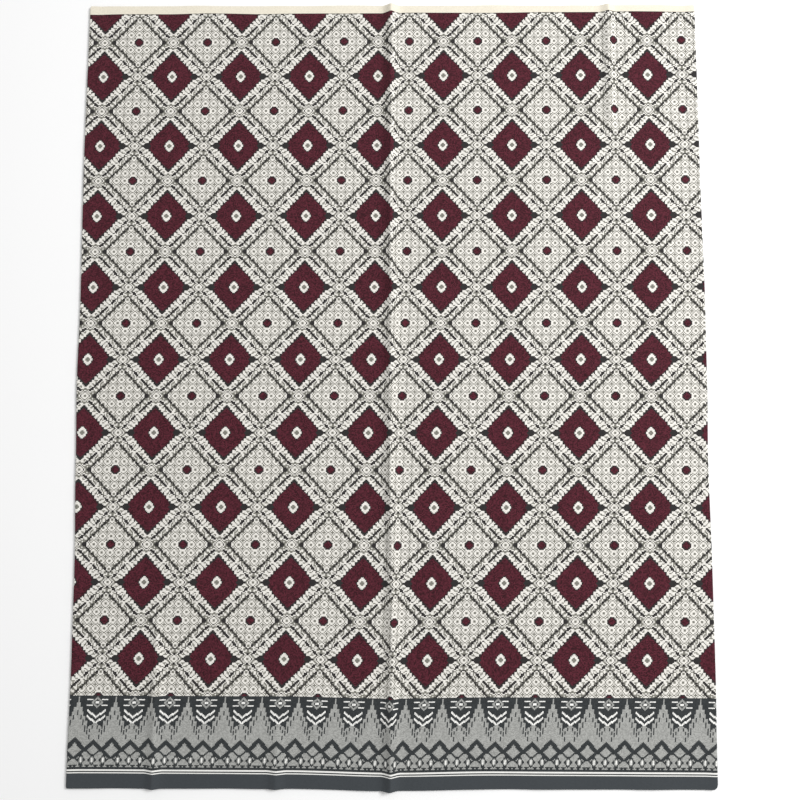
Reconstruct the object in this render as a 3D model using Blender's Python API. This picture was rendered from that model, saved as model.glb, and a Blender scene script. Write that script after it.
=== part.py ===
"""A woven sarong: one length of patterned cloth sewn into a tube and laid flat.

The tube is a thin wall lofted through sections across the garment, one at each station up its
height. Each section runs under the back layer, round one side fold, over the front layer and
round the other side fold. The back layer lies dead flat. The front layer carries the ridges
left by packing folds. The seam allowances lie pressed open inside, on the back layer.

Metres. +X to the wearer's left as seen from above, +Y from hem to waist, +Z up off the table.
"""

import math
from collections import namedtuple

import bmesh
import bpy

# Driving sizes
HEIGHT = 1.200  # hem selvedge to waist selvedge
WIDTH = 0.956  # side fold to side fold, half of the way round the tube
CLOTH = 0.0012  # wall of the cloth
PIECE_GAP = 0.0003  # clearance between things that touch
FOLD_RADIUS = 0.0021  # outside of a side fold
FOLD_EASE = 0.016  # over this the front layer comes down from a side fold
SEAM_WIDTH = 0.012  # both allowances, pressed open
SEAM_END = 0.0010  # the seam stops this far inside each rim

LAYERS = 2 * CLOTH + PIECE_GAP  # both layers where nothing lifts them
FOLD_STEPS = 5  # flats round a side fold
FRONT_PITCH = 0.085  # widest spacing of points across the front layer
BACK_PITCH = 0.160  # widest spacing of points across the back layer
STATION_PITCH = 0.085  # widest spacing of sections up the garment
CREASE_FADE = 0.050  # a crease dies away over this at its ends

# Ridges left by packing, on the front layer. One that runs up the garment is placed by its x,
# and one that runs across by its y. It reaches this far to each side of its own line.
Crease = namedtuple("Crease", "line reach height start end")
MIDDLE_FOLD = Crease(line=-0.002, reach=0.014, height=0.0085, start=-0.70, end=0.70)
UPRIGHT_CREASES = (
    MIDDLE_FOLD,
    Crease(line=-0.351, reach=0.013, height=0.0050, start=-0.70, end=-0.34),
    Crease(line=-0.351, reach=0.013, height=0.0016, start=0.17, end=0.30),
    Crease(line=-0.170, reach=0.015, height=0.0042, start=-0.70, end=-0.50),
    Crease(line=-0.170, reach=0.015, height=0.0014, start=0.08, end=0.31),
    Crease(line=0.173, reach=0.015, height=0.0013, start=-0.26, end=-0.06),
    Crease(line=0.340, reach=0.013, height=0.0055, start=0.38, end=0.70),
    Crease(line=0.340, reach=0.013, height=0.0020, start=-0.32, end=-0.14),
)
CROSS_CREASES = (
    Crease(line=0.313, reach=0.013, height=0.0020, start=-0.47, end=-0.04),
    Crease(line=0.017, reach=0.014, height=0.0030, start=0.02, end=0.47),
    Crease(line=0.017, reach=0.014, height=0.0010, start=-0.47, end=-0.03),
    Crease(line=-0.320, reach=0.013, height=0.0022, start=-0.48, end=-0.15),
    Crease(line=-0.320, reach=0.013, height=0.0011, start=0.02, end=0.13),
)

# How far each side fold wanders out of a straight line, up the garment.
Wander = namedtuple("Wander", "y left right")
SIDE_WANDER = (
    Wander(y=-0.600, left=0.0000, right=0.0004),
    Wander(y=-0.410, left=-0.0024, right=0.0020),
    Wander(y=-0.280, left=-0.0026, right=0.0018),
    Wander(y=-0.120, left=0.0004, right=0.0004),
    Wander(y=0.000, left=0.0026, right=0.0024),
    Wander(y=0.120, left=0.0010, right=0.0030),
    Wander(y=0.340, left=0.0022, right=0.0010),
    Wander(y=0.600, left=0.0000, right=0.0002),
)

# The rims are a little rounded where they turn into the side folds.
HEM_LEFT_ROUND = 0.0025
HEM_RIGHT_ROUND = 0.0070
WAIST_ROUND = 0.0030


def smooth(t):
    """0 below 0, 1 above 1, and a soft step between them."""
    t = min(max(t, 0.0), 1.0)
    return t * t * (3.0 - 2.0 * t)


def crease_lift(crease, across, along):
    """Height that one crease gives a point, from its place across and along the crease."""
    off = abs(across - crease.line) / crease.reach
    if off >= 1.0:
        return 0.0
    profile = math.cos(0.5 * math.pi * off) ** 2
    starts = smooth((along - crease.start) / CREASE_FADE)
    ends = smooth((crease.end - along) / CREASE_FADE)
    return crease.height * profile * starts * ends


def front_lift(x, y):
    """Height of the front layer over where it would lie flat on the back layer."""
    lift = sum(crease_lift(crease, x, y) for crease in UPRIGHT_CREASES)
    lift += sum(crease_lift(crease, y, x) for crease in CROSS_CREASES)
    return lift


def filled(stops, pitch):
    """The stops in order, with even ones put between any that are further apart than pitch."""
    stops = sorted(set(stops))
    full = [stops[0]]
    for low, high in zip(stops, stops[1:]):
        count = math.ceil((high - low) / pitch)
        full += [low + (high - low) * k / count for k in range(1, count + 1)]
    return full


def crease_stops(creases):
    """Places of the foot, flank and top of each crease."""
    return [c.line + c.reach * part for c in creases for part in (-1.0, -0.45, 0.0, 0.45, 1.0)]


def side_wander(y):
    """How far out the left and the right fold lie at this height, from the table."""
    for low, high in zip(SIDE_WANDER, SIDE_WANDER[1:]):
        if y <= high.y:
            t = smooth((y - low.y) / (high.y - low.y))
            return low.left + t * (high.left - low.left), low.right + t * (high.right - low.right)
    return SIDE_WANDER[-1].left, SIDE_WANDER[-1].right


def corner(radius, from_rim):
    """How far a fold draws in, this far up from a rim with a rounded corner."""
    rise = max(radius - from_rim, 0.0)
    return radius - math.sqrt(radius * radius - rise * rise)


def side_folds(y):
    """x of the outermost point of the left and the right fold at this height."""
    left, right = side_wander(y)
    from_hem = HEIGHT / 2 + y
    from_waist = HEIGHT / 2 - y
    left -= corner(HEM_LEFT_ROUND, from_hem) + corner(WAIST_ROUND, from_waist)
    right -= corner(HEM_RIGHT_ROUND, from_hem) + corner(WAIST_ROUND, from_waist)
    return -WIDTH / 2 - left, WIDTH / 2 + right


def outside_section(y, front_stops, back_stops):
    """Points (x, z) of the tube's outside at this height, once round from the middle of the back."""
    left, right = side_folds(y)
    straight = WIDTH - 2 * FOLD_RADIUS
    scale = (right - left - 2 * FOLD_RADIUS) / straight
    start = left + FOLD_RADIUS

    def place(stop):
        return start + (stop + straight / 2) * scale

    def fold(centre, turn):
        angles = [math.pi * k / FOLD_STEPS for k in range(1, FOLD_STEPS)]
        return [
            (centre + turn * FOLD_RADIUS * math.sin(a), FOLD_RADIUS * (1 - turn * math.cos(a)))
            for a in angles
        ]

    def front(stop):
        from_fold = straight / 2 - abs(stop)
        ease = 1.0 - smooth(from_fold / FOLD_EASE)
        rest = LAYERS + (2 * FOLD_RADIUS - LAYERS) * ease
        return rest + front_lift(stop, y) * (1.0 - ease)

    under_right = [(place(x), 0.0) for x in back_stops if x >= 0.0]
    over = [(place(x), front(x)) for x in reversed(front_stops)]
    under_left = [(place(x), 0.0) for x in back_stops if x < 0.0]
    right_fold = fold(place(straight / 2), 1)
    left_fold = fold(place(-straight / 2), -1)
    return under_right + right_fold + over + left_fold + under_left


def inside_section(outside):
    """The same loop moved in by the thickness of the cloth, square to the loop."""
    inside = []
    count = len(outside)
    for k, (x, z) in enumerate(outside):
        before = outside[k - 1]
        after = outside[(k + 1) % count]
        dx, dz = after[0] - before[0], after[1] - before[1]
        length = math.hypot(dx, dz)
        inside.append((x - dz / length * CLOTH, z + dx / length * CLOTH))
    return inside


def material(name, colour, roughness):
    made = bpy.data.materials.new(name)
    made.use_nodes = True
    shader = made.node_tree.nodes["Principled BSDF"]
    shader.inputs["Base Color"].default_value = (*colour, 1.0)
    shader.inputs["Roughness"].default_value = roughness
    shader.inputs["Metallic"].default_value = 0.0
    return made


def add_object(name, mesh_builder, look):
    mesh = bpy.data.meshes.new(name)
    mesh_builder.normal_update()
    mesh_builder.to_mesh(mesh)
    mesh_builder.free()
    mesh.materials.append(look)
    made = bpy.data.objects.new(name, mesh)
    bpy.context.scene.collection.objects.link(made)
    return made


def tube_cloth(look):
    """The cloth: a closed wall round the flat tube, open at the hem and at the waist."""
    straight = WIDTH / 2 - FOLD_RADIUS
    inside_edges = [-straight, -straight + FOLD_EASE, straight - FOLD_EASE, straight]
    front_stops = filled(inside_edges + crease_stops(UPRIGHT_CREASES), FRONT_PITCH)
    back_stops = filled([-straight, 0.0, straight], BACK_PITCH)
    ends = [-HEIGHT / 2, HEIGHT / 2]
    near_hem = [-HEIGHT / 2 + HEM_RIGHT_ROUND * part for part in (0.2, 0.5, 1.0)]
    near_waist = [HEIGHT / 2 - WAIST_ROUND * part for part in (0.3, 1.0)]
    stations = filled(ends + near_hem + near_waist + crease_stops(CROSS_CREASES), STATION_PITCH)

    build = bmesh.new()
    rings = []
    for y in stations:
        outside = outside_section(y, front_stops, back_stops)
        inside = inside_section(outside)
        rings.append([[build.verts.new((x, y, z)) for x, z in loop] for loop in (outside, inside)])
    for (outer_low, inner_low), (outer_high, inner_high) in zip(rings, rings[1:]):
        for k in range(len(outer_low)):
            build.faces.new((outer_low[k - 1], outer_high[k - 1], outer_high[k], outer_low[k]))
            build.faces.new((inner_low[k - 1], inner_low[k], inner_high[k], inner_high[k - 1]))
    for (outer, inner), flip in ((rings[0], False), (rings[-1], True)):
        for k in range(len(outer)):
            rim = [outer[k - 1], outer[k], inner[k], inner[k - 1]]
            build.faces.new(reversed(rim) if flip else rim)
    bmesh.ops.recalc_face_normals(build, faces=build.faces)
    return add_object("tube_cloth", build, look)


def side_seam(look):
    """Both allowances pressed open: a flat strip with eased edges, on the back layer inside."""
    half = SEAM_WIDTH / 2
    ease = 0.25 * CLOTH
    low = CLOTH + PIECE_GAP
    high = low + CLOTH
    profile = (
        (-half, low),
        (half, low),
        (half, high - ease),
        (half - ease, high),
        (ease, high),
        (0.0, high - ease),
        (-ease, high),
        (-half + ease, high),
        (-half, high - ease),
    )
    centre = MIDDLE_FOLD.line
    end = HEIGHT / 2 - SEAM_END
    build = bmesh.new()
    ring = [build.verts.new((centre + x, -end, z)) for x, z in profile]
    hem_face = build.faces.new(ring)
    swept = bmesh.ops.extrude_face_region(build, geom=[hem_face], use_keep_orig=True)
    moved = [item for item in swept["geom"] if isinstance(item, bmesh.types.BMVert)]
    bmesh.ops.translate(build, verts=moved, vec=(0.0, 2 * end, 0.0))
    bmesh.ops.recalc_face_normals(build, faces=build.faces)
    return add_object("side_seam", build, look)


def main():
    for existing in list(bpy.data.objects):
        bpy.data.objects.remove(existing, do_unlink=True)
    tube_cloth(material("patterned cloth", (0.36, 0.27, 0.26), 0.85))
    side_seam(material("seam allowance", (0.55, 0.50, 0.46), 0.90))


main()
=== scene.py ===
"""A woven sarong laid flat on a pale table: the cloth, its side seam, the light and the camera.

The cloth is one length, figured in the loom with a trellis of diamonds over a stepped border,
and sewn into a tube. It lies in two layers. The front layer carries the ridges left by packing.
The design is drawn on point paper from a few plain shapes, as a weaver draws it.

Metres. +X to the right, +Y from hem to waist, +Z up off the table.
"""

import math
from collections import namedtuple

import bpy
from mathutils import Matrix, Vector


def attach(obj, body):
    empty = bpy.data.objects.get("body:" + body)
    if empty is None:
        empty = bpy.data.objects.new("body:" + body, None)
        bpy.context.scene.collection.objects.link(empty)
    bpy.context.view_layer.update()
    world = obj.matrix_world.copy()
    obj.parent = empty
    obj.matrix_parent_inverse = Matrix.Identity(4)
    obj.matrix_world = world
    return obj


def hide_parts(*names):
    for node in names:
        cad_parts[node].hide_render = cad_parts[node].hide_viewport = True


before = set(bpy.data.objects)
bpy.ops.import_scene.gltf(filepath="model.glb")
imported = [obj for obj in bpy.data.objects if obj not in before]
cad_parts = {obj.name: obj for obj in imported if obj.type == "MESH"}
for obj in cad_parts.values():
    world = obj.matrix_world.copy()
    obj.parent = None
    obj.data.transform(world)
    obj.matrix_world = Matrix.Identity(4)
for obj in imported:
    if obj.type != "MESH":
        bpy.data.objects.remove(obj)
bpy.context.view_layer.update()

# Driving sizes, as in the solids
HEIGHT = 1.200  # hem selvedge to waist selvedge
WIDTH = 0.956  # side fold to side fold
ROUND = 2 * WIDTH  # all the way round the tube, flat
CLOTH = 0.0012  # wall of the cloth
PIECE_GAP = 0.0003  # clearance between things that touch
LAYERS = 2 * CLOTH + PIECE_GAP  # both layers where nothing lifts them
FOLD_RADIUS = 0.0021  # outside of a side fold
FOLD_EASE = 0.016  # over this the front layer comes down from a side fold
SEAM_WIDTH = 0.012  # both allowances, pressed open
SEAM_END = 0.0010  # the seam stops this far inside each rim
SEAM_GROOVE = 0.00025  # the join draws the back layer in by this
SEAM_GROOVE_REACH = 0.0008

# How finely the cloth is divided
FOLD_STEPS = 12
FRONT_PITCH = 0.0095
BACK_PITCH = 0.022
STATION_PITCH = 0.0105
RIM_STEPS = 4  # round the thickness of a rim
CREASE_FADE = 0.050  # a crease dies away over this at its ends
BACK_SHARE = 0.22  # how much of each crease the back layer keeps

# Ridges left by packing. One that runs up the garment is placed by its x, and one that runs
# across by its y. It reaches this far to each side of its own line.
Crease = namedtuple("Crease", "line reach height start end")
MIDDLE_FOLD = Crease(line=-0.002, reach=0.014, height=0.0085, start=-0.70, end=0.70)
UPRIGHT_CREASES = (
    MIDDLE_FOLD,
    Crease(line=-0.351, reach=0.013, height=0.0050, start=-0.70, end=-0.34),
    Crease(line=-0.351, reach=0.013, height=0.0016, start=0.17, end=0.30),
    Crease(line=-0.170, reach=0.015, height=0.0042, start=-0.70, end=-0.50),
    Crease(line=-0.170, reach=0.015, height=0.0014, start=0.08, end=0.31),
    Crease(line=0.173, reach=0.015, height=0.0013, start=-0.26, end=-0.06),
    Crease(line=0.340, reach=0.013, height=0.0055, start=0.38, end=0.70),
    Crease(line=0.340, reach=0.013, height=0.0020, start=-0.32, end=-0.14),
)
CROSS_CREASES = (
    Crease(line=0.313, reach=0.013, height=0.0020, start=-0.47, end=-0.04),
    Crease(line=0.017, reach=0.014, height=0.0030, start=0.02, end=0.47),
    Crease(line=0.017, reach=0.014, height=0.0010, start=-0.47, end=-0.03),
    Crease(line=-0.320, reach=0.013, height=0.0022, start=-0.48, end=-0.15),
    Crease(line=-0.320, reach=0.013, height=0.0011, start=0.02, end=0.13),
)
CREST_ROUND = 0.13  # how blunt the top of a crease is, as a share of its reach
CREASE_POWER = 1.30  # 1 is a straight flank
FRONT_CREASE_PARTS = (-1.0, -0.8, -0.6, -0.45, -0.3, -0.18, -0.08, 0.0)
BACK_CREASE_PARTS = (-1.0, -0.5, -0.2, 0.0)

# Broad soft swells where the front layer doesn't quite lie down.
Swell = namedtuple("Swell", "x y reach_x reach_y height")
SWELLS = (
    Swell(x=-0.402, y=0.482, reach_x=0.075, reach_y=0.110, height=0.0011),
    Swell(x=-0.245, y=0.405, reach_x=0.095, reach_y=0.070, height=0.0008),
    Swell(x=-0.080, y=0.500, reach_x=0.060, reach_y=0.130, height=0.0012),
    Swell(x=0.105, y=0.455, reach_x=0.090, reach_y=0.120, height=0.0009),
    Swell(x=0.262, y=0.240, reach_x=0.080, reach_y=0.140, height=0.0012),
    Swell(x=0.412, y=0.165, reach_x=0.060, reach_y=0.120, height=0.0009),
    Swell(x=0.070, y=0.150, reach_x=0.060, reach_y=0.095, height=0.0007),
    Swell(x=-0.095, y=0.165, reach_x=0.070, reach_y=0.090, height=0.0010),
    Swell(x=-0.420, y=0.060, reach_x=0.055, reach_y=0.150, height=0.0010),
    Swell(x=-0.262, y=-0.105, reach_x=0.090, reach_y=0.120, height=0.0012),
    Swell(x=-0.070, y=-0.200, reach_x=0.060, reach_y=0.110, height=0.0009),
    Swell(x=0.095, y=-0.110, reach_x=0.075, reach_y=0.080, height=0.0008),
    Swell(x=0.265, y=-0.215, reach_x=0.085, reach_y=0.070, height=0.0010),
    Swell(x=0.425, y=-0.240, reach_x=0.050, reach_y=0.160, height=0.0012),
    Swell(x=-0.260, y=-0.425, reach_x=0.075, reach_y=0.085, height=0.0011),
    Swell(x=-0.085, y=-0.470, reach_x=0.065, reach_y=0.090, height=0.0008),
    Swell(x=0.120, y=-0.400, reach_x=0.100, reach_y=0.110, height=0.0011),
    Swell(x=0.300, y=-0.480, reach_x=0.090, reach_y=0.080, height=0.0010),
)

# The rims ripple a little, and less the further the cloth is from them.
Ripple = namedtuple("Ripple", "length start height")
WAIST_RIPPLES = (
    Ripple(length=0.118, start=0.021, height=0.0004),
    Ripple(length=0.067, start=0.010, height=0.0002),
    Ripple(length=0.231, start=0.090, height=0.0005),
)
HEM_RIPPLES = (
    Ripple(length=0.143, start=0.060, height=0.0005),
    Ripple(length=0.083, start=0.030, height=0.0003),
)
RIM_SLANT = 0.0035  # the left side is this much shorter, as a share
HEM_SAG = 0.0028  # how far the hem hangs down at the middle fold
HEM_SAG_REACH = 0.150
WAIST_RIPPLE_DEPTH = 0.045
HEM_RIPPLE_DEPTH = 0.030

# How far each side fold wanders out of a straight line, up the garment.
Wander = namedtuple("Wander", "y left right")
SIDE_WANDER = (
    Wander(y=-0.600, left=0.0000, right=0.0004),
    Wander(y=-0.410, left=-0.0024, right=0.0020),
    Wander(y=-0.280, left=-0.0026, right=0.0018),
    Wander(y=-0.120, left=0.0004, right=0.0004),
    Wander(y=0.000, left=0.0026, right=0.0024),
    Wander(y=0.120, left=0.0010, right=0.0030),
    Wander(y=0.340, left=0.0022, right=0.0010),
    Wander(y=0.600, left=0.0000, right=0.0002),
)
HEM_LEFT_ROUND = 0.0025
HEM_RIGHT_ROUND = 0.0070
WAIST_ROUND = 0.0030

# Point paper that the design is drawn on, in squares
FIELD_COLUMNS = 30  # a quarter of the repeat, turned over on both axes
FIELD_ROWS = 32
BORDER_COLUMNS = 16  # half of the border's repeat, turned over on one axis
BORDER_ROWS = 64

# The design's own sizes, on the cloth
REPEAT_ROUND = 0.10833  # one diamond to the next, round the tube
REPEAT_UP = 0.11236  # one row of dark diamonds to the next but one, up the tube
FIRST_DIAMOND = -0.4777  # from the middle fold to the dark diamond nearest the left fold
DIAMOND_ROW = 1.0851  # hem to the topmost whole row of dark diamonds
LEAN = 0.0364  # the cloth was sewn a little off its grain, so the columns lean this much
BOW = 0.0109  # and they bow this much half way up
SPREAD = 0.0107
STRETCH_UP = 0.0055  # the rows stand this much further apart to the right, as a share
FIELD_COLUMN = REPEAT_ROUND / (2 * FIELD_COLUMNS)
FIELD_ROW = REPEAT_UP / (2 * FIELD_ROWS)
BORDER_TOP = 0.1322
BORDER_FOOT = 0.0260
BORDER_ROW = (BORDER_TOP - BORDER_FOOT) / BORDER_ROWS
BORDER_COLUMN = REPEAT_ROUND / (4 * (BORDER_COLUMNS - 1))
WEAVE_MAP = "weave"

# Bands at the rims, each from its upper edge down to the next
SLATE_TOP = 0.0203
LOWER_WHITE_TOP = 0.0218
DARK_LINE_TOP = 0.0236
UPPER_WHITE_TOP = BORDER_FOOT
WAIST_BAND = 0.0122  # the plain selvedge at the waist
WAIST_SHADOW_LINE = 0.0012  # the dark line of shadow under it, painted into the cloth's colour

# Dyes, as parts of light given back
CREAM = (0.800, 0.776, 0.722)
FIELD_GREY = (0.205, 0.200, 0.172)
CHARCOAL = (0.027, 0.025, 0.025)
DARK_RED = (0.069, 0.0115, 0.0195)
BORDER_WHITE = (0.860, 0.855, 0.820)
BORDER_GREY = (0.352, 0.355, 0.338)
BORDER_CHARCOAL = (0.034, 0.038, 0.040)
SLATE = (0.051, 0.058, 0.064)
SELVEDGE_CREAM = (0.800, 0.745, 0.620)
SEWING_THREAD = (0.560, 0.530, 0.480)


# ---------------------------------------------------------------- form of the cloth


def smooth(t):
    """0 below 0, 1 above 1, and a soft step between them."""
    t = min(max(t, 0.0), 1.0)
    return t * t * (3.0 - 2.0 * t)


def crease_lift(crease, across, along):
    """Height that one crease gives a point, from its place across and along the crease."""
    off = abs(across - crease.line) / crease.reach
    if off >= 1.0:
        return 0.0
    blunt = math.hypot(off, CREST_ROUND)
    fall = (blunt - CREST_ROUND) / (math.hypot(1.0, CREST_ROUND) - CREST_ROUND)
    profile = (1.0 - fall) ** CREASE_POWER
    starts = smooth((along - crease.start) / CREASE_FADE)
    ends = smooth((crease.end - along) / CREASE_FADE)
    return crease.height * profile * starts * ends


def creases_at(x, y):
    lift = sum(crease_lift(crease, x, y) for crease in UPRIGHT_CREASES)
    return lift + sum(crease_lift(crease, y, x) for crease in CROSS_CREASES)


def swells_at(x, y):
    """Height of the broad swells, which have no edge of their own."""
    lift = 0.0
    for swell in SWELLS:
        off = math.hypot((x - swell.x) / swell.reach_x, (y - swell.y) / swell.reach_y)
        lift += swell.height * (1.0 - smooth(off))
    return lift


def ripples_at(x, from_rim, ripples, depth):
    fade = 1.0 - smooth(from_rim / depth)
    if fade == 0.0:
        return 0.0
    height = sum(r.height * (1 + math.sin(2 * math.pi * (x - r.start) / r.length)) for r in ripples)
    return height * fade


def front_lift(x, y):
    """Height of the front layer over where it would lie flat on the back layer."""
    lift = creases_at(x, y) + swells_at(x, y)
    lift += ripples_at(x, HEIGHT / 2 - y, WAIST_RIPPLES, WAIST_RIPPLE_DEPTH)
    return lift + ripples_at(x, HEIGHT / 2 + y, HEM_RIPPLES, HEM_RIPPLE_DEPTH)


def back_lift(x, y):
    return BACK_SHARE * creases_at(x, y)


def filled(stops, pitch):
    """The stops in order, with even ones put between any that are further apart than pitch."""
    stops = sorted(set(stops))
    full = [stops[0]]
    for low, high in zip(stops, stops[1:]):
        count = math.ceil((high - low) / pitch)
        full += [low + (high - low) * k / count for k in range(1, count + 1)]
    return full


def crease_stops(creases, parts):
    """Places across each crease line, alike on both of its sides."""
    both = set(parts) | {-part for part in parts}
    lines = {crease.line: crease.reach for crease in creases}
    return [line + reach * part for line, reach in lines.items() for part in both]


def side_wander(y):
    """How far out the left and the right fold lie at this height, from the table."""
    for low, high in zip(SIDE_WANDER, SIDE_WANDER[1:]):
        if y <= high.y:
            t = smooth((y - low.y) / (high.y - low.y))
            return low.left + t * (high.left - low.left), low.right + t * (high.right - low.right)
    return SIDE_WANDER[-1].left, SIDE_WANDER[-1].right


def corner(radius, from_rim):
    """How far a fold draws in, this far up from a rim with a rounded corner."""
    rise = max(radius - from_rim, 0.0)
    return radius - math.sqrt(radius * radius - rise * rise)


def side_folds(y):
    """x of the outermost point of the left and the right fold at this height."""
    left, right = side_wander(y)
    from_hem = HEIGHT / 2 + y
    from_waist = HEIGHT / 2 - y
    left -= corner(HEM_LEFT_ROUND, from_hem) + corner(WAIST_ROUND, from_waist)
    right -= corner(HEM_RIGHT_ROUND, from_hem) + corner(WAIST_ROUND, from_waist)
    return -WIDTH / 2 - left, WIDTH / 2 + right


def place_across(stop, y):
    """x of a point of either layer at this height, as the side folds draw it in or let it out."""
    left, right = side_folds(y)
    straight = WIDTH - 2 * FOLD_RADIUS
    scale = (right - left - 2 * FOLD_RADIUS) / straight
    return left + FOLD_RADIUS + (stop + straight / 2) * scale


def outside_section(y, front_stops, back_stops):
    """Points (x, z) of the tube's outside at this height, once round from the middle of the back."""
    straight = WIDTH - 2 * FOLD_RADIUS

    def place(stop):
        return place_across(stop, y)

    def fold(centre, turn):
        angles = [math.pi * k / FOLD_STEPS for k in range(1, FOLD_STEPS)]
        return [
            (centre + turn * FOLD_RADIUS * math.sin(a), FOLD_RADIUS * (1 - turn * math.cos(a)))
            for a in angles
        ]

    def front(stop):
        ease = 1.0 - smooth((straight / 2 - abs(stop)) / FOLD_EASE)
        rest = LAYERS + (2 * FOLD_RADIUS - LAYERS) * ease
        return rest + front_lift(stop, y) * (1.0 - ease)

    def back(stop):
        off = abs(stop - MIDDLE_FOLD.line) / SEAM_GROOVE_REACH
        return back_lift(stop, y) + SEAM_GROOVE * max(0.0, 1.0 - off)

    middle = MIDDLE_FOLD.line
    under_right = [(place(x), back(x)) for x in back_stops if x >= middle]
    over = [(place(x), front(x)) for x in reversed(front_stops)]
    under_left = [(place(x), back(x)) for x in back_stops if x < middle]
    right_fold = fold(place(straight / 2), 1)
    left_fold = fold(place(-straight / 2), -1)
    return under_right + right_fold + over + left_fold + under_left


def moved_in(section, depth):
    """The same loop moved in by this depth, square to the loop."""
    inside = []
    count = len(section)
    for k, (x, z) in enumerate(section):
        before = section[k - 1]
        after = section[(k + 1) % count]
        dx, dz = after[0] - before[0], after[1] - before[1]
        length = math.hypot(dx, dz)
        inside.append((x - dz / length * depth, z + dx / length * depth))
    return inside


def distances_round(section):
    """How far along the loop each point is, with the first point again at the end."""
    total = [0.0]
    for (x0, z0), (x1, z1) in zip(section, section[1:] + section[:1]):
        total.append(total[-1] + math.hypot(x1 - x0, z1 - z0))
    return total


def slanted(x, y):
    """The rims draw together towards the left fold, and the hem sags under the middle fold."""
    near = 1.0 - smooth(abs(x - MIDDLE_FOLD.line) / HEM_SAG_REACH)
    sag = HEM_SAG * near * smooth(-2 * y / HEIGHT)
    return y * (1.0 - RIM_SLANT * (0.5 - x / WIDTH)) - sag


def weave_place(round_place, y):
    """Where a point of the cloth falls in the design: round from a dark diamond, up from the hem."""
    bow = BOW * (1.0 - (2 * y / HEIGHT) ** 2)
    u = round_place * (1.0 + SPREAD * y) - LEAN * y - bow - FIRST_DIAMOND
    across = min(max(round_place / WIDTH, -1.0), 1.0)
    return u, y * (1.0 - STRETCH_UP * across) + HEIGHT / 2


def closed_grid(name, rows, places, looks, look_of_row, capped=False):
    """Rows of points, closed round each row. The last row meets the first, or both get a cap."""
    count = len(rows[0])
    points = [point for row in rows for point in row]
    faces = []
    corners = []
    face_looks = []
    last = len(rows) - 1
    for i in range(last if capped else len(rows)):
        j = (i + 1) % len(rows)
        for k in range(count):
            n = (k + 1) % count
            faces.append((i * count + k, j * count + k, j * count + n, i * count + n))
            corners += [places[i][k], places[j][k], places[j][k + 1], places[i][k + 1]]
            face_looks.append(look_of_row[i])
    if capped:
        faces.append(tuple(range(count)))
        faces.append(tuple(last * count + k for k in reversed(range(count))))
        corners += places[0][:count] + places[last][count - 1 :: -1]
        face_looks += [look_of_row[0], look_of_row[last]]
    mesh = bpy.data.meshes.new(name)
    mesh.from_pydata(points, [], faces)
    layer = mesh.uv_layers.new(name=WEAVE_MAP)
    layer.uv.foreach_set("vector", [number for corner in corners for number in corner])
    for look in looks:
        mesh.materials.append(look)
    mesh.polygons.foreach_set("material_index", face_looks)
    mesh.polygons.foreach_set("use_smooth", [True] * len(faces))
    mesh.update()
    made = bpy.data.objects.new(name, mesh)
    bpy.context.scene.collection.objects.link(made)
    return made


def sarong_cloth(face_look, wrong_side_look):
    """The tube: a wall of one thickness, with rounded rims at the hem and the waist."""
    straight = WIDTH / 2 - FOLD_RADIUS
    eased = straight - FOLD_EASE
    edges = [-straight, straight]
    near_folds = [side * (straight - FOLD_EASE * part) for side in (-1, 1) for part in (0.3, 0.6, 1)]
    front_parts = crease_stops(UPRIGHT_CREASES, FRONT_CREASE_PARTS)
    front_parts = [x for x in front_parts if abs(x) < eased]
    front_stops = filled(edges + near_folds + front_parts, FRONT_PITCH)
    seam_stops = [MIDDLE_FOLD.line + x for x in (-SEAM_GROOVE_REACH, 0.0, SEAM_GROOVE_REACH)]
    back_parts = crease_stops(UPRIGHT_CREASES, BACK_CREASE_PARTS)
    back_stops = filled(edges + seam_stops + back_parts, BACK_PITCH)

    rim = CLOTH / 2
    ends = [-HEIGHT / 2 + rim, HEIGHT / 2 - rim]
    near_hem = [-HEIGHT / 2 + HEM_RIGHT_ROUND * part for part in (0.2, 0.5, 1.0)]
    near_waist = [HEIGHT / 2 - WAIST_ROUND * part for part in (0.4, 1.0)]
    stations = ends + near_hem + near_waist
    stations += crease_stops(CROSS_CREASES, BACK_CREASE_PARTS)
    stations = filled(stations, STATION_PITCH)

    sections = [outside_section(y, front_stops, back_stops) for y in stations]
    crest = len([x for x in back_stops if x >= MIDDLE_FOLD.line]) + FOLD_STEPS - 1
    crest += len([x for x in front_stops if x > MIDDLE_FOLD.line + 1e-9])
    rounds = []
    for section in sections:
        distances = distances_round(section)
        rounds.append([distances[crest] - distance for distance in distances])

    def row(station, depth, push):
        y = stations[station] + push
        return [(x, slanted(x, y), z) for x, z in moved_in(sections[station], depth)]

    def places(station, push):
        y = stations[station] + push
        return [weave_place(distance, y) for distance in rounds[station]]

    turns = [math.pi * k / RIM_STEPS for k in range(1, RIM_STEPS)]
    last = len(stations) - 1
    steps = [(k, 0.0, 0.0, 0) for k in range(len(stations))]
    steps += [(last, rim * (1 - math.cos(a)), rim * math.sin(a), 0) for a in turns]
    steps += [(k, CLOTH, 0.0, 1) for k in reversed(range(len(stations)))]
    steps += [(0, rim * (1 + math.cos(a)), -rim * math.sin(a), 0) for a in turns]
    rows = [row(station, depth, push) for station, depth, push, _ in steps]
    maps = [places(station, push) for station, _, push, _ in steps]
    look_of_row = [look for _, _, _, look in steps]
    # at the hem, as at the waist, the strip between the rim and the inside shows the face
    look_of_row[2 * len(stations) + RIM_STEPS - 2] = 0
    return closed_grid("sarong_cloth", rows, maps, [face_look, wrong_side_look], look_of_row)


# ---------------------------------------------------------------- the design, on point paper


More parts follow.
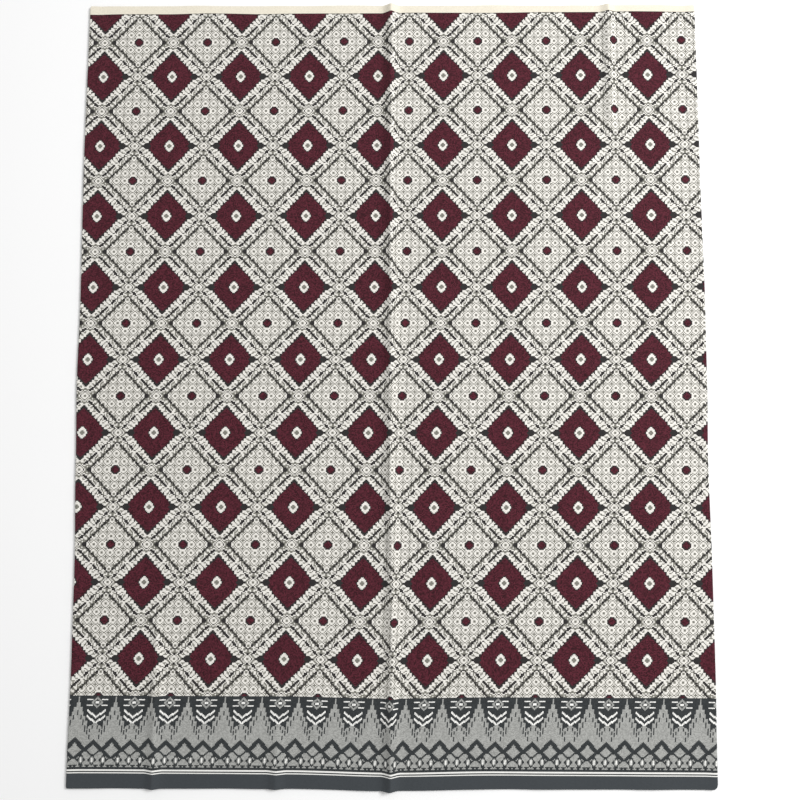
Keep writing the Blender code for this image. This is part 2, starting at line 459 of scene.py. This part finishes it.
class PointPaper:
    """Squares of point paper, one letter to each: m dark red, k charcoal, g grey, . cream."""

    def __init__(self, columns, rows, ground):
        self.rows = [[ground] * columns for _ in range(rows)]

    def colour(self, letter, covers):
        """Puts the letter on each square whose middle the shape covers."""
        for y, squares in enumerate(self.rows):
            for x in range(len(squares)):
                if covers(x + 0.5, y + 0.5):
                    squares[x] = letter

    def block(self, letter, left, top, right, bottom):
        self.colour(letter, lambda x, y: left < x < right and top < y < bottom)

    def lozenge(self, letter, middle, half_width, half_height, bulge=1.0):
        """Straight sided at a bulge of 1, rounder above it, and an oval at 2."""

        def covers(x, y):
            across = abs(x - middle[0]) / half_width
            return across**bulge + (abs(y - middle[1]) / half_height) ** bulge < 1.0

        self.colour(letter, covers)

    def leaf(self, letter, middle, lean, length, width):
        """A pointed oval. Its length runs up to the right by this angle."""
        run, rise = math.cos(lean), -math.sin(lean)

        def covers(x, y):
            dx, dy = x - middle[0], y - middle[1]
            along = abs(dx * run + dy * rise) / (length / 2)
            off = abs(dx * rise - dy * run) / (width / 2)
            return along < 1.0 and off < 1.0 - along * along

        self.colour(letter, covers)

    def stroke(self, letter, start, end, width):
        dx, dy = end[0] - start[0], end[1] - start[1]
        length = math.hypot(dx, dy)

        def covers(x, y):
            along = ((x - start[0]) * dx + (y - start[1]) * dy) / length
            off = abs((x - start[0]) * dy - (y - start[1]) * dx) / length
            return 0.0 <= along <= length and off < width / 2

        self.colour(letter, covers)


def between(start, end, share):
    return tuple(a + (b - a) * share for a, b in zip(start, end))


def field_paper():
    """From the middle of a dark diamond, at no column and no row, to the middle of a pale one."""
    paper = PointPaper(FIELD_COLUMNS, FIELD_ROWS, ".")
    dark = (0, 0)
    pale = (FIELD_COLUMNS, FIELD_ROWS)

    # the pale diamond: lace of small lozenges, shut in by a thin knotted braid
    for across in range(4):
        for down in range(4 - across):
            middle = (pale[0] - 7 * across, pale[1] - 7 * down)
            paper.lozenge("g", middle, 4.3, 4.3)
            paper.lozenge(".", middle, 3.1, 3.1)
            paper.lozenge("g", middle, 1.3, 1.3)
            paper.lozenge("g", (middle[0] - 3.5, middle[1] - 3.5), 1.4, 1.4)
    braid = ((pale[0], pale[1] - 24.5), (pale[0] - 22.5, pale[1]))
    paper.stroke("k", *braid, 1.5)
    for share in (0.17, 0.34, 0.50, 0.66, 0.83):
        paper.lozenge("k", between(*braid, share), 1.7, 1.7)
    paper.lozenge("k", braid[1], 3.0, 1.6)

    # a band of split leaves between the braid and the dark diamond, with petals on both sides
    band = ((27.6, 2.6), (2.4, 29.0))
    lean = math.atan2(band[1][1] - band[0][1], band[0][0] - band[1][0])
    for petal in range(11):
        root = between(*band, (petal + 0.2) / 10.6)
        paper.stroke("g", (root[0] + 1.4, root[1] + 1.2), (root[0] + 3.0, root[1] + 4.6), 1.1)
        paper.stroke("g", (root[0] - 1.4, root[1] - 1.2), (root[0] - 4.6, root[1] - 3.0), 1.1)
    for share in (0.12, 0.37, 0.63, 0.88):
        middle = between(*band, share)
        paper.leaf("g", middle, lean, 10.8, 5.2)
        paper.leaf(".", middle, lean, 9.6, 4.2)
        paper.leaf("k", middle, lean, 8.0, 2.5)
    for share in (0.0, 0.245, 0.50, 0.755, 1.0):
        paper.lozenge("k", between(*band, share), 1.2, 1.2)

    # where two bands cross, a knot of small lozenges
    for knot in ((FIELD_COLUMNS, 0), (0, FIELD_ROWS)):
        for ring in (6.4, 4.2, 2.0):
            paper.lozenge("g", knot, ring, ring)
            paper.lozenge(".", knot, ring - 1.1, ring - 1.1)
        paper.lozenge("k", between(knot, dark, 0.115), 1.1, 1.1)
        paper.lozenge("k", between(knot, pale, 0.125), 1.1, 1.1)

    # the dark diamond, its rim notched between the petals
    paper.lozenge("k", dark, 20.4, 23.4, 1.16)
    for notch in range(9):
        edge = between((21.0, 0), (0, 24.2), (notch + 1) / 9.4)
        paper.lozenge(".", (edge[0] + 0.7, edge[1] + 0.6), 1.5, 1.5)
    paper.lozenge("m", dark, 18.5, 21.2, 1.14)
    paper.lozenge("k", (19.8, 0), 4.8, 3.0)
    paper.lozenge("k", (0, 22.6), 1.9, 2.2)

    # the white heart of the dark diamond and the dark spot of the pale one
    paper.lozenge("k", dark, 5.2, 5.8, 1.2)
    paper.lozenge(".", dark, 4.3, 4.9, 1.2)
    paper.lozenge("g", dark, 1.8, 2.6, 1.3)
    paper.lozenge(".", pale, 6.4, 6.8)
    paper.lozenge("k", pale, 4.0, 4.4, 1.6)
    paper.lozenge("m", pale, 2.8, 3.2, 1.6)
    return paper.rows


def border_paper():
    """From the middle of a spire, at no column, to half way to the next one, top to bottom."""
    paper = PointPaper(BORDER_COLUMNS, BORDER_ROWS, "g")
    last = BORDER_COLUMNS

    # grey stepped spires on charcoal, with a whiskered flower and two chevrons between them
    paper.block("k", 0, 0, last, 27)
    paper.block("g", 0, 1, 1, 7)
    for step in range(5):
        paper.block("g", 0, 6 + 4 * step, 2 + 1.7 * step, 28)
    paper.lozenge("g", (last, 6), 6.0, 5.2)
    paper.lozenge("k", (last, 6), 4.0, 3.4)
    paper.lozenge(".", (last, 6), 2.2, 1.9)
    for whisker in (3, 8):
        paper.block(".", last - 9, whisker, last - 4, whisker + 1.2)
    for top in (12, 17):
        paper.stroke(".", (8, top + 1), (last, top + 7), 1.6)
    paper.lozenge("g", (last, 27), 6.0, 3.6)

    # dashes that step down the spires, and up again between them
    for dash in range(6):
        left = 0.4 + 2.2 * dash
        paper.block("k", left, 13 + 4.2 * dash, left + 1.1, 17.2 + 4.2 * dash)
    for dash in range(4):
        left = last - 2.6 - 2.2 * dash
        paper.block("k", left, 26 + 3 * (dash % 2), left + 1.1, 29 + 3 * (dash % 2))

    # broad charcoal zigzag, and a thin one in it
    paper.stroke("k", (-1, 37), (9, 48), 3.6)
    paper.stroke("k", (last + 1, 39), (8, 48), 3.2)
    paper.stroke("k", (8, 47), (last / 2 - 7, 55), 3.0)
    paper.stroke("k", (9, 47), (last + 1, 54), 1.6)

    # a row of buds, each split down its middle, over a hem of leaves
    for middle in (6.5, last - 0.5):
        paper.lozenge("k", (middle, 56), 3.4, 5.2)
        paper.lozenge("g", (middle, 56), 1.9, 3.4)
        paper.block(".", middle - 1, 54, middle + 1, 58)
    for middle in (2.0, 7.0, 12.0):
        paper.leaf("k", (middle, 60.8), 0.0, 4.6, 2.4)
    paper.block("k", 0, 62, last, BORDER_ROWS)
    return paper.rows


# ---------------------------------------------------------------- materials


class Shade:
    """One value of a material. Arithmetic on it adds Math nodes, so a formula stays a formula."""

    def __init__(self, tree, socket):
        self.tree = tree
        self.socket = socket

    def node(self, kind, settings, sockets, output=0):
        """A node of this kind: its settings first, then its sockets, and one of its outputs."""
        made = self.tree.nodes.new(kind)
        for setting, value in settings.items():
            if setting == "stops":
                set_stops(made.color_ramp, value)
            else:
                setattr(made, setting, value)
        for name, value in sockets.items():
            if isinstance(value, Shade):
                self.tree.links.new(value.socket, made.inputs[name])
            else:
                made.inputs[name].default_value = value
        return Shade(self.tree, made.outputs[output])

    def math(self, operation, *values):
        return self.node("ShaderNodeMath", {"operation": operation}, dict(enumerate(values)))

    def __add__(self, other):
        return self.math("ADD", self, other)

    def __radd__(self, other):
        return self.math("ADD", other, self)

    def __sub__(self, other):
        return self.math("SUBTRACT", self, other)

    def __rsub__(self, other):
        return self.math("SUBTRACT", other, self)

    def __mul__(self, other):
        return self.math("MULTIPLY", self, other)

    def __rmul__(self, other):
        return self.math("MULTIPLY", other, self)

    def __truediv__(self, other):
        return self.math("DIVIDE", self, other)

    def __gt__(self, other):
        return self.math("GREATER_THAN", self, other)

    def __lt__(self, other):
        return self.math("LESS_THAN", self, other)

    def whole(self):
        return self.math("FLOOR", self)

    def part(self):
        return self.math("FRACT", self)

    def at_most(self, limit):
        return self.math("MINIMUM", self, limit)

    def there_and_back(self, length):
        return self.math("PINGPONG", self, length)

    def channel(self, index):
        return self.node("ShaderNodeSeparateColor", {}, {0: self}, index)

    def mixed(self, other, amount):
        """This colour with so much of the other one laid over it."""
        sockets = {0: amount, 6: self if isinstance(self, Shade) else (*self, 1.0)}
        sockets[7] = other if isinstance(other, Shade) else (*other, 1.0)
        return self.node("ShaderNodeMix", {"data_type": "RGBA"}, sockets, 2)


def set_stops(ramp, colours):
    """A ramp of even steps, with one flat colour to each."""
    ramp.interpolation = "CONSTANT"
    while len(ramp.elements) < len(colours):
        ramp.elements.new(1.0)
    for index, colour in enumerate(colours):
        ramp.elements[index].position = index / len(colours)
        ramp.elements[index].color = (*colour, 1.0)


SYMBOLS = ".gkm"
SQUARES_IN_ONE = 10  # squares of point paper that one number holds
ROWS_IN_RAMP = 32


def squares_as_number(squares):
    """Up to ten squares of point paper in one number, four steps to a square."""
    total = 0.5 * 4.0**-SQUARES_IN_ONE
    for place, symbol in enumerate(squares):
        total += SYMBOLS.index(symbol) * 4.0 ** (-place - 1)
    return total


def rows_as_stops(rows):
    """One colour for each row of point paper, with ten squares in each of its three channels."""
    starts = range(0, 3 * SQUARES_IN_ONE, SQUARES_IN_ONE)
    groups = [slice(start, start + SQUARES_IN_ONE) for start in starts]
    return [tuple(squares_as_number(row[group]) for group in groups) for row in rows]


def read_chart(chart, column, row):
    """The thread at this column and row: 0 cream, 1 grey, 2 charcoal, 3 dark red."""
    parts = []
    for start in range(0, len(chart), ROWS_IN_RAMP):
        stops = rows_as_stops(chart[start : start + ROWS_IN_RAMP])
        place = (row + (0.5 - start)) / ROWS_IN_RAMP
        parts.append(column.node("ShaderNodeValToRGB", {"stops": stops}, {0: place}))
    rows = parts[0]
    if len(parts) > 1:
        rows = parts[0].mixed(parts[1], row > ROWS_IN_RAMP - 0.5)
    first, second, third = (rows.channel(index) for index in range(3))
    group = (column / SQUARES_IN_ONE).whole()
    number = first + (group > 0.5) * (second - first)
    number = number + (group > 1.5) * (third - second)
    place = column - group * SQUARES_IN_ONE
    shifted = number * column.math("POWER", 4.0, place)
    return (shifted.part() * 4.0).whole()


def uneven(place_a, place_b, seed):
    """A number from 0 to 1 that is different for each pair of whole numbers."""
    vector = place_a.node("ShaderNodeCombineXYZ", {}, {0: place_a, 1: place_b, 2: seed})
    return place_a.node("ShaderNodeTexWhiteNoise", {"noise_dimensions": "3D"}, {0: vector})


THREAD_ROUND = 0.00060  # one thread to the next, round the tube
THREAD_UP = 0.00058  # one thread to the next, up the tube
SPECK_ROUND = 0.00170  # the cloth's colour is uneven in specks of this size
SPECK_UP = 0.00145
STRAY = 0.0003  # how far a change of colour strays from its square
BAND_WAVES = 9.0  # slow waves in the edge of the waist band, to a metre
BAND_WAVE_HEIGHT = 0.0030
SHADOW_LINE_STRENGTH = 0.6  # how dark the painted shadow line under the waist band is
SPECKLE = 0.10  # how uneven the colour is in the plain bands, as a share
BORDER_SPECKLE = 0.34  # and this much more in the border
FIELD_SPECKLE = 0.14
RED_SPECKLE = 0.96
FIGURE_SHARE = 0.6  # how far the cream threads float over the ground
SPECK_SHARE = 0.25
RELIEF = 0.00012  # depth of the threads and the figure
RELIEF_STRENGTH = 0.5
WRONG_SIDE = (0.30, 0.27, 0.25)
WRONG_SIDE_SHARE = 0.55


def woven_cloth(name, wrong_side=False):
    """The figured cloth, from its weave map. Its wrong side shows the same figure, but dimmer."""
    look = bpy.data.materials.new(name)
    look.use_nodes = True
    tree = look.node_tree
    shader = tree.nodes["Principled BSDF"]
    start = Shade(tree, None)
    weave = start.node("ShaderNodeUVMap", {"uv_map": WEAVE_MAP}, {})
    u = weave.node("ShaderNodeSeparateXYZ", {}, {0: weave}, 0)
    v = weave.node("ShaderNodeSeparateXYZ", {}, {0: weave}, 1)

    end_number = (u / THREAD_ROUND).whole()
    pick_number = (v / THREAD_UP).whole()
    stray_u = u + (uneven(pick_number, pick_number, 3.1) - 0.5) * STRAY
    stray_v = v + (uneven(end_number, end_number, 7.7) - 0.5) * STRAY

    column = (stray_u / FIELD_COLUMN).there_and_back(FIELD_COLUMNS)
    column = column.whole().at_most(FIELD_COLUMNS - 1)
    row = ((DIAMOND_ROW - stray_v) / FIELD_ROW).there_and_back(FIELD_ROWS)
    row = row.whole().at_most(FIELD_ROWS - 1)
    thread = read_chart(field_paper(), column, row)

    speck = uneven((u / SPECK_ROUND).whole(), (v / SPECK_UP).whole(), 0.3)
    field = weave.mixed(CREAM, 1.0)
    field = field.mixed(FIELD_GREY, thread > 0.5)
    field = field.mixed(CHARCOAL, thread > 1.5)
    field = field.mixed(DARK_RED, thread > 2.5)

    half_turn = BORDER_COLUMNS - 1
    border_column = (u / BORDER_COLUMN + half_turn).there_and_back(half_turn) + 0.5
    border_row = ((BORDER_TOP - stray_v) / BORDER_ROW).whole()
    border_thread = read_chart(border_paper(), border_column.whole(), border_row)
    border = weave.mixed(BORDER_WHITE, 1.0)
    border = border.mixed(BORDER_GREY, border_thread > 0.5)
    border = border.mixed(BORDER_CHARCOAL, border_thread > 1.5)

    cloth = field.mixed(border, v < BORDER_TOP)
    cloth = cloth.mixed(BORDER_WHITE, v < UPPER_WHITE_TOP)
    cloth = cloth.mixed(BORDER_CHARCOAL, v < DARK_LINE_TOP)
    cloth = cloth.mixed(BORDER_WHITE, v < LOWER_WHITE_TOP)
    cloth = cloth.mixed(SLATE, v < SLATE_TOP)
    waves = {"W": u, "Scale": BAND_WAVES, "Detail": 0.0}
    band_waves = weave.node("ShaderNodeTexNoise", {"noise_dimensions": "1D"}, waves)
    band_edge = HEIGHT - WAIST_BAND + (band_waves - 0.5) * BAND_WAVE_HEIGHT
    # painted shadow: a charcoal line along the lower edge of the waist band, where the band shades the
    # cloth
    cloth = cloth.mixed(CHARCOAL, (v > band_edge - WAIST_SHADOW_LINE) * SHADOW_LINE_STRENGTH)
    cloth = cloth.mixed(SELVEDGE_CREAM, v > band_edge)

    in_field = (v > BORDER_TOP) * (v < band_edge)
    in_border = (v < BORDER_TOP) * (v > UPPER_WHITE_TOP)
    speckle = SPECKLE + in_border * BORDER_SPECKLE
    speckle = speckle + in_field * (FIELD_SPECKLE + (thread > 2.5) * RED_SPECKLE)
    dim = 1.0 + (speck - 0.5) * speckle
    shade = weave.node("ShaderNodeCombineColor", {}, {0: dim, 1: dim, 2: dim})
    cloth = weave.node(
        "ShaderNodeMix",
        {"data_type": "RGBA", "blend_type": "MULTIPLY"},
        {0: 1.0, 6: cloth, 7: shade},
        2,
    )
    if wrong_side:
        cloth = cloth.mixed(WRONG_SIDE, WRONG_SIDE_SHARE)
    tree.links.new(cloth.socket, shader.inputs["Base Color"])

    ribs = (u / THREAD_ROUND).there_and_back(0.5) + (v / THREAD_UP).there_and_back(0.5)
    figure = (thread < 0.5) * in_field * FIGURE_SHARE
    relief = ribs + figure + speck * SPECK_SHARE
    depth = {"Height": relief, "Distance": RELIEF, "Strength": RELIEF_STRENGTH}
    bump = weave.node("ShaderNodeBump", {}, depth)
    tree.links.new(bump.socket, shader.inputs["Normal"])
    shader.inputs["Roughness"].default_value = 0.85
    shader.inputs["Specular IOR Level"].default_value = 0.20
    shader.inputs["Sheen Weight"].default_value = 0.05
    shader.inputs["Sheen Roughness"].default_value = 0.5
    return look


def spun_thread():
    """Sewing thread: a little lighter and darker along its length."""
    look = bpy.data.materials.new("sewing thread")
    look.use_nodes = True
    tree = look.node_tree
    shader = tree.nodes["Principled BSDF"]
    place = Shade(tree, None).node("ShaderNodeTexCoord", {}, {}, 3)
    twist = place.node("ShaderNodeTexNoise", {}, {"Vector": place, "Scale": 900.0, "Detail": 2.0})
    darker = tuple(0.7 * part for part in SEWING_THREAD)
    colour = place.mixed(SEWING_THREAD, 1.0).mixed(darker, twist)
    tree.links.new(colour.socket, shader.inputs["Base Color"])
    shader.inputs["Roughness"].default_value = 0.7
    return look


def plain_look(name, colour, roughness):
    look = bpy.data.materials.new(name)
    look.use_nodes = True
    shader = look.node_tree.nodes["Principled BSDF"]
    shader.inputs["Base Color"].default_value = (*colour, 1.0)
    shader.inputs["Roughness"].default_value = roughness
    return look


# ---------------------------------------------------------------- making


JOIN_NOTCH = 0.0003  # the dip between the two allowances
SEAM_PITCH = 0.008
STITCH_THREAD = 0.00030  # thickness of the sewing thread
STITCH_END = 0.0020  # the stitches stop this far inside the ends of the seam
OVERLOCK_PITCH = 0.0034  # one overlock stitch to the next
OVERLOCK_BITE = 0.0026  # how far in from the raw edge it reaches
OVERLOCK_SLANT = 0.0017
EDGE_INSET = 0.0002
JOIN_PITCH = 0.0026  # one stitch to the next in the row beside the join
JOIN_STITCH = 0.0018
JOIN_OFF = 0.0011  # the row's distance from the join
TUCKED = 0.2  # how high the ends of a stitch stand, as a share of its middle


def on_allowance(off, y, z):
    """A point this far across from the join, at this height where the back layer lies flat."""
    x = place_across(MIDDLE_FOLD.line, y) + off
    return x, slanted(x, y), z + back_lift(MIDDLE_FOLD.line, y)


def side_seam(look):
    """Both allowances pressed open inside the middle of the back."""
    half = SEAM_WIDTH / 2
    low = CLOTH + PIECE_GAP
    high = low + CLOTH
    profile = [(-half, low), (half, low), (half, high), (JOIN_NOTCH, high)]
    profile += [(0.0, high - JOIN_NOTCH), (-JOIN_NOTCH, high), (-half, high)]
    end = HEIGHT / 2 - SEAM_END
    stations = filled([-end, end], SEAM_PITCH)
    rows = []
    places = []
    for y in stations:
        rows.append([on_allowance(x, y, z) for x, z in profile])
        places.append([weave_place(x + ROUND / 2, y) for x, _ in profile + profile[:1]])
    made = closed_grid("side_seam_cloth", rows, places, [look], [0] * len(rows), capped=True)
    made.data.shade_flat()
    return made


def seam_stitches(look):
    """Thread on the allowances: slanted overlock stitches on both raw edges, a row beside the join."""
    top = 2 * CLOTH + PIECE_GAP
    end = HEIGHT / 2 - SEAM_END - STITCH_END
    runs = []
    for side in (-1, 1):
        edge = side * (SEAM_WIDTH / 2 - EDGE_INSET)
        for y in filled([-end, end], OVERLOCK_PITCH)[:-1]:
            runs.append(((edge, y), (edge - side * OVERLOCK_BITE, y + OVERLOCK_SLANT)))
        beside = side * JOIN_OFF
        for y in filled([-end, end], JOIN_PITCH)[:-1]:
            start = y + (JOIN_PITCH - JOIN_STITCH) / 2
            runs.append(((beside, start), (beside, start + JOIN_STITCH)))
    points = []
    faces = []
    for (x0, y0), (x1, y1) in runs:
        length = math.hypot(x1 - x0, y1 - y0)
        half = STITCH_THREAD / 2 / length
        across = ((y0 - y1) * half, (x1 - x0) * half)
        crown = ((x0 + x1) / 2, (y0 + y1) / 2, 1.0)
        first = len(points)
        for x, y, lift in ((x0, y0, TUCKED), crown, (x1, y1, TUCKED)):
            points.append(on_allowance(x - across[0], y - across[1], top))
            points.append(on_allowance(x + across[0], y + across[1], top))
            points.append(on_allowance(x, y, top + STITCH_THREAD * lift))
        for k in (first, first + 3):
            faces += [(k, k + 1, k + 4, k + 3), (k + 1, k + 2, k + 5, k + 4), (k + 2, k, k + 3, k + 5)]
        faces += [(first, first + 2, first + 1), (first + 6, first + 7, first + 8)]
    mesh = bpy.data.meshes.new("seam_stitches")
    mesh.from_pydata(points, [], faces)
    mesh.materials.append(look)
    made = bpy.data.objects.new("seam_stitches", mesh)
    bpy.context.scene.collection.objects.link(made)
    bpy.context.view_layer.objects.active = made
    bpy.ops.object.select_all(action="DESELECT")
    made.select_set(True)
    bpy.ops.object.mode_set(mode="EDIT")
    bpy.ops.mesh.select_all(action="SELECT")
    bpy.ops.mesh.normals_make_consistent(inside=False)
    bpy.ops.object.mode_set(mode="OBJECT")
    return made


TABLE_GAP = 0.0004  # the table is this far under the cloth, so the two don't flicker
TABLE_SIZE = 8.0
TABLE_WHITE = (0.97, 0.97, 0.97)


def floor():
    bpy.ops.object.select_all(action="DESELECT")
    bpy.ops.mesh.primitive_plane_add(size=TABLE_SIZE, location=(0, 0, -TABLE_GAP))
    made = bpy.context.object
    made.name = "table"
    made.data.materials.append(plain_look("table", TABLE_WHITE, 0.9))
    return made


def light(name, place, aim, size, power):
    data = bpy.data.lights.new(name, "AREA")
    data.shape = "DISK"
    data.size = size
    data.energy = power
    made = bpy.data.objects.new(name, data)
    made.location = place
    made.rotation_euler = (Vector(aim) - Vector(place)).to_track_quat("-Z", "Y").to_euler()
    bpy.context.scene.collection.objects.link(made)


CAMERA_AIM = Vector((0.0121, -0.0264, 0.0))
CAMERA_ELEVATION = math.radians(85.26)
CAMERA_DISTANCE = 1.2958
CAMERA_LENS = 38.25


def camera():
    data = bpy.data.cameras.new("camera")
    data.lens = CAMERA_LENS
    data.clip_start = 0.01
    made = bpy.data.objects.new("camera", data)
    away = Vector((0.0, -math.cos(CAMERA_ELEVATION), math.sin(CAMERA_ELEVATION)))
    made.location = CAMERA_AIM + CAMERA_DISTANCE * away
    made.rotation_euler = (math.pi / 2 - CAMERA_ELEVATION, 0.0, 0.0)
    bpy.context.scene.collection.objects.link(made)
    bpy.context.scene.camera = made


ROOM_STRENGTH = 0.57  # light from all round
WINDOW_PLACE = (2.0, 0.9, 2.3)
WINDOW_SIZE = 1.3
WINDOW_POWER = 80.0


def room():
    scene = bpy.context.scene
    scene.view_settings.view_transform = "Standard"
    world = bpy.data.worlds.new("room")
    world.use_nodes = True
    world.node_tree.nodes["Background"].inputs["Color"].default_value = (1.0, 1.0, 1.0, 1.0)
    world.node_tree.nodes["Background"].inputs["Strength"].default_value = ROOM_STRENGTH
    scene.world = world
    light("window", WINDOW_PLACE, (0.0, 0.0, 0.0), WINDOW_SIZE, WINDOW_POWER)


face_look = woven_cloth("figured cloth")
wrong_look = woven_cloth("figured cloth, wrong side", wrong_side=True)
cloth = sarong_cloth(face_look, wrong_look)
seam = side_seam(woven_cloth("seam allowance"))
stitches = seam_stitches(spun_thread())
table = floor()
camera()
room()

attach(cloth, "root")
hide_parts("tube_cloth")
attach(seam, "root")
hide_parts("side_seam")
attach(stitches, "root")
